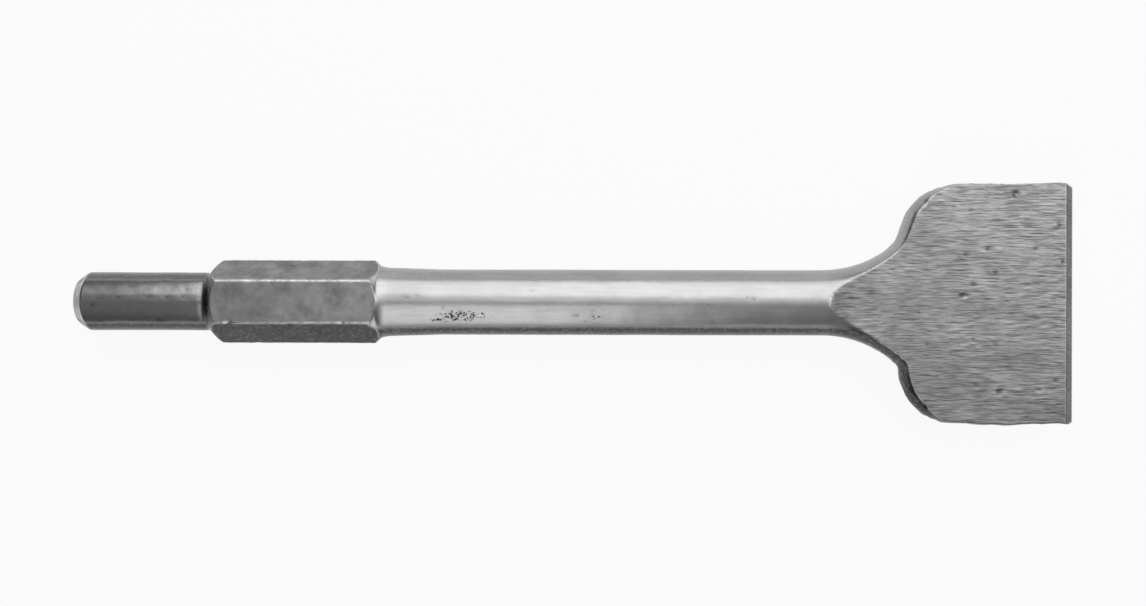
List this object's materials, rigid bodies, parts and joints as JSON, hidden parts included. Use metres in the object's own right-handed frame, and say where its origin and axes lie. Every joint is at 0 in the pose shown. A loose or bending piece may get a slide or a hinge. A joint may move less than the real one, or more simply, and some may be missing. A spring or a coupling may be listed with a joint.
{
  "type": "jackhammer chisel bit",
  "caption": "Forged steel chisel bit for an electric jackhammer: round striking tail, hexagonal shank, round stem, and a wide spade blade ground to a straight cutting edge.",
  "frame": {"origin": "centre of the round striking face at the tail end", "axes": "+X along the axis from the striking face to the cutting edge, +Y across the blade, +Z square to the blade and to the pair of hexagon flats parallel to it"},
  "size_m": [0.41, 0.1, 0.03],
  "materials": {
    "forged_steel": "hot-forged and blasted tool steel, turned tail, ground blade faces, worn bright along the edges"
  },
  "bodies": {
    "root": {"spade_chisel": "forged_steel"}
  },
  "joints": []
}
